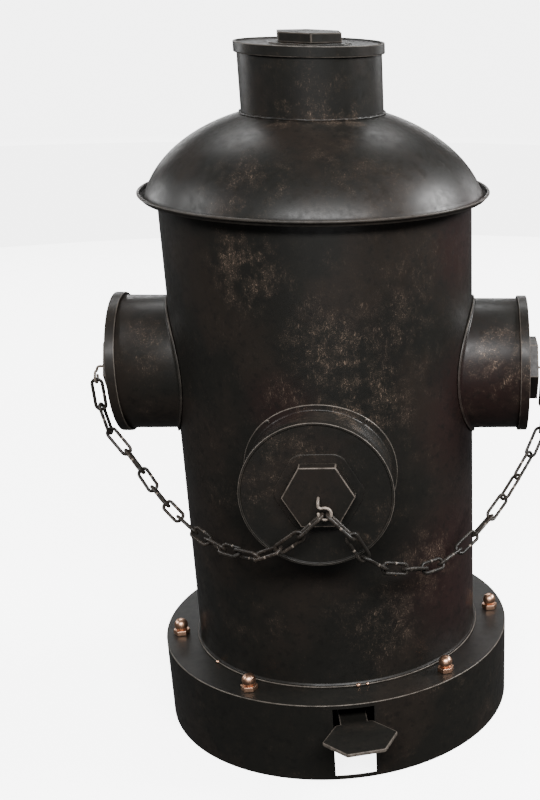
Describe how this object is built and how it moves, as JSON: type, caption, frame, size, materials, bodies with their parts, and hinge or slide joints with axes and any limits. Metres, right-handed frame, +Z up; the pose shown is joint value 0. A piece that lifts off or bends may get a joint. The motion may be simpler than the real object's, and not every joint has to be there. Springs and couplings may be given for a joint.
{
  "type": "pedal bin in the form of a fire hydrant",
  "caption": "Sheet-metal fire-hydrant form with domed lid, capped nozzles and chains; a foot pedal lifts the hinged lid over an inner bucket.",
  "frame": {"origin": "on the floor under the body's axis, at the underside of the strap that crosses the base", "axes": "+Z up along the body's axis, -Y towards the foot pedal, +X to the right of someone facing the pedal"},
  "size_m": [0.4062, 0.3924, 0.6088],
  "materials": {
    "bronze_sheet": "near-black brown antique bronze, satin, worn lighter on the edges",
    "bronze_fittings": "antique bronze, satin, edges rubbed to copper",
    "chain_wire": "dark bronze wire, worn where the links rub",
    "copper_nuts": "rubbed copper, semi-bright",
    "steel_hardware": "plain steel, dull",
    "zinc_bucket": "galvanised sheet, dull"
  },
  "bodies": {
    "body": {"body_shell": "bronze_sheet", "base_skirt": "bronze_sheet", "base_plate": "bronze_sheet", "pedal_bracket": "bronze_sheet", "pedal_axle": "steel_hardware", "ball_nut_1": "copper_nuts", "ball_nut_2": "copper_nuts", "ball_nut_3": "copper_nuts", "ball_nut_4": "copper_nuts", "nozzle_tube_front": "bronze_sheet", "nozzle_cap_front": "bronze_sheet", "nozzle_nut_front": "bronze_fittings", "nozzle_tube_right": "bronze_sheet", "nozzle_cap_right": "bronze_sheet", "nozzle_nut_right": "bronze_fittings", "nozzle_tube_left": "bronze_sheet", "nozzle_cap_left": "bronze_sheet", "nozzle_nut_left": "bronze_fittings", "hinge_bracket": "bronze_sheet", "hinge_pin": "steel_hardware", "rod_guide": "bronze_sheet"},
    "lid": {"lid_dome": "bronze_sheet", "neck_tube": "bronze_sheet", "neck_cap": "bronze_sheet", "neck_nut": "bronze_fittings", "lid_arm": "bronze_sheet"},
    "pedal": {"pedal_lever": "bronze_fittings"},
    "rod": {"push_rod": "steel_hardware"},
    "bucket": {"inner_bucket": "zinc_bucket"},
    "bail": {"bucket_bail": "steel_hardware"},
    "chain_left": {"chain_link_left_01": "chain_wire", "chain_link_left_02": "chain_wire", "chain_link_left_03": "chain_wire", "chain_link_left_04": "chain_wire", "chain_link_left_05": "chain_wire", "chain_link_left_06": "chain_wire", "chain_link_left_07": "chain_wire", "chain_link_left_08": "chain_wire", "chain_link_left_09": "chain_wire", "chain_link_left_10": "chain_wire", "chain_link_left_11": "chain_wire", "chain_link_left_12": "chain_wire", "chain_link_left_13": "chain_wire", "chain_link_left_14": "chain_wire", "chain_link_left_15": "chain_wire"},
    "chain_right": {"chain_link_right_01": "chain_wire", "chain_link_right_02": "chain_wire", "chain_link_right_03": "chain_wire", "chain_link_right_04": "chain_wire", "chain_link_right_05": "chain_wire", "chain_link_right_06": "chain_wire", "chain_link_right_07": "chain_wire", "chain_link_right_08": "chain_wire", "chain_link_right_09": "chain_wire", "chain_link_right_10": "chain_wire", "chain_link_right_11": "chain_wire", "chain_link_right_12": "chain_wire", "chain_link_right_13": "chain_wire", "chain_link_right_14": "chain_wire", "chain_link_right_15": "chain_wire"}
  },
  "joints": [
    {"name": "lid_hinge", "type": "hinge", "parent": "body", "child": "lid", "pos_m": [0, 0.167, 0.487], "axis": [-1, 0, 0], "range_deg": [0, 75]},
    {"name": "pedal_hinge", "type": "hinge", "parent": "body", "child": "pedal", "pos_m": [0, -0.022, 0.0414], "axis": [1, 0, 0], "range_deg": [0, 12.38]},
    {"name": "push_rod_slide", "type": "slide", "parent": "body", "child": "rod", "axis": [0, 0, 1], "range_m": [0, 0.0354]},
    {"name": "bucket_lift", "type": "slide", "parent": "body", "child": "bucket", "axis": [0, 0, 1], "range_m": [0, 0.02]},
    {"name": "bail_swing", "type": "hinge", "parent": "bucket", "child": "bail", "pos_m": [0, 0, 0.38], "axis": [-1, 0, 0], "range_deg": [0, 180]},
    {"name": "chain_left_swing", "type": "hinge", "parent": "body", "child": "chain_left", "pos_m": [-0.02046, -0.18721, 0.26583], "axis": [-0.6365, 0.7482, 0.1874], "range_deg": [0, 20]},
    {"name": "chain_right_swing", "type": "hinge", "parent": "body", "child": "chain_right", "pos_m": [0.19662, -0.02204, 0.31572], "axis": [-0.7691, -0.6121, -0.1838], "range_deg": [0, 20]}
  ],
  "couplings": [
    {"joint": "pedal_hinge", "follows": "lid_hinge", "ratio": 0.16484},
    {"joint": "push_rod_slide", "follows": "lid_hinge", "m_per_rad": 0.026973}
  ]
}
